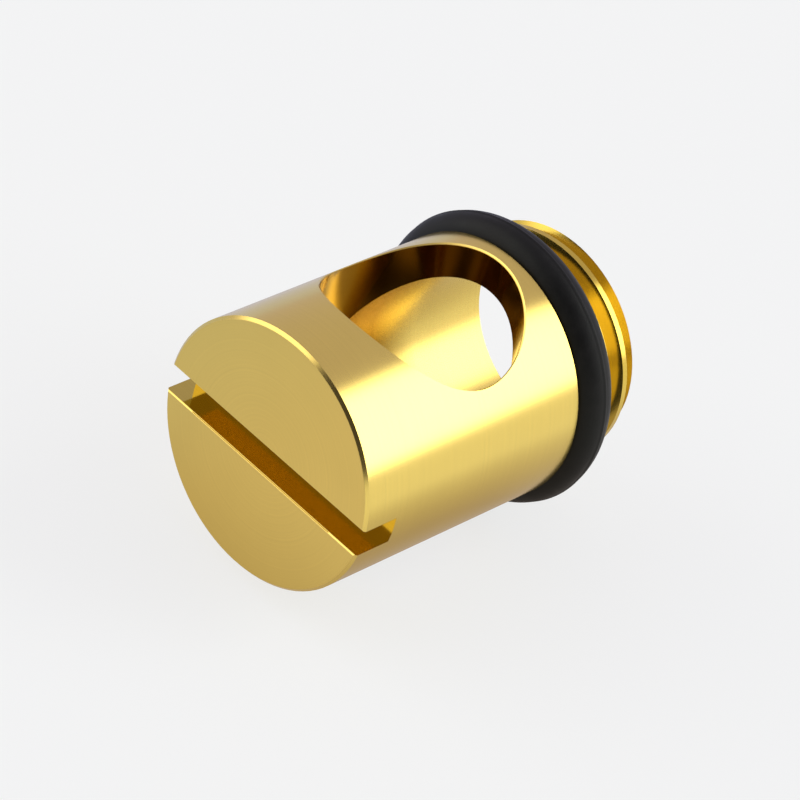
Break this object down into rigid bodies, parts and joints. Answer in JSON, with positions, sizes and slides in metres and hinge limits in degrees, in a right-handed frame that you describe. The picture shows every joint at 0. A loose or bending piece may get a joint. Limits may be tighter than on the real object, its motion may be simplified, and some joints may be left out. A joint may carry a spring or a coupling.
{
  "type": "flow-through plug fitting",
  "caption": "Round slotted screw plug with a cross bore, an axial bore open at its pipe thread, and a rubber sealing ring behind the shoulder.",
  "frame": {"origin": "on the plug's axis, in the plane of the shoulder that presses the ring onto the port", "axes": "+Y along the axis from the slotted face to the threaded end, +Z along the cross bore, +X along the screwdriver slot"},
  "size_m": [0.016, 0.0214, 0.016],
  "materials": {
    "gold_plated_brass": "satin gold plating over turned brass",
    "nitrile_rubber": "moulded, low sheen"
  },
  "bodies": {
    "root": {"plug_body": "gold_plated_brass", "o_ring": "nitrile_rubber"}
  },
  "joints": []
}
